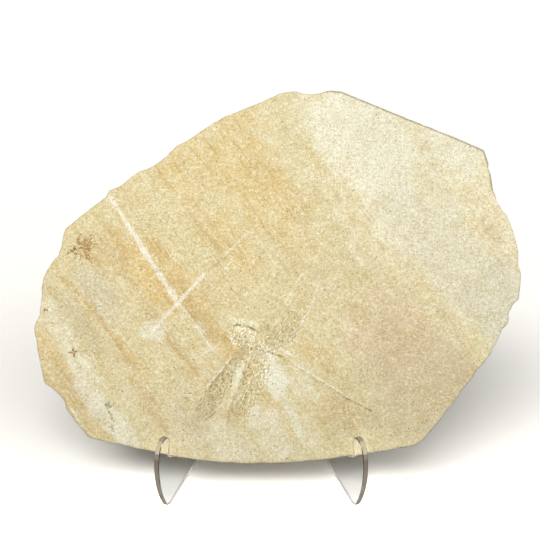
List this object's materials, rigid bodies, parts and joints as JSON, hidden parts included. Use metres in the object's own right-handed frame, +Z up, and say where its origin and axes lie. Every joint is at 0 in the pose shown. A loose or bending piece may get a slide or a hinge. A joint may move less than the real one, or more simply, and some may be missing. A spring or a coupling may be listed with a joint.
{
  "type": "fossil dragonfly on an easel",
  "caption": "Thin broken limestone slab with a dragonfly impression on its face, leaning back on a clear easel of two crossed acrylic plates.",
  "frame": {"origin": "on the shelf, under the middle of the whole's box", "axes": "+Z up, +X to the right along the slab's width, +Y back, away from the slab's face"},
  "size_m": [0.3014, 0.132, 0.2461],
  "materials": {
    "limestone": "matt, fine-grained, cream with ochre bands",
    "clear_acrylic": "clear, with polished cut edges"
  },
  "bodies": {
    "root": {"limestone_slab": "limestone", "left_acrylic_plate": "clear_acrylic", "right_acrylic_plate": "clear_acrylic"}
  },
  "joints": []
}
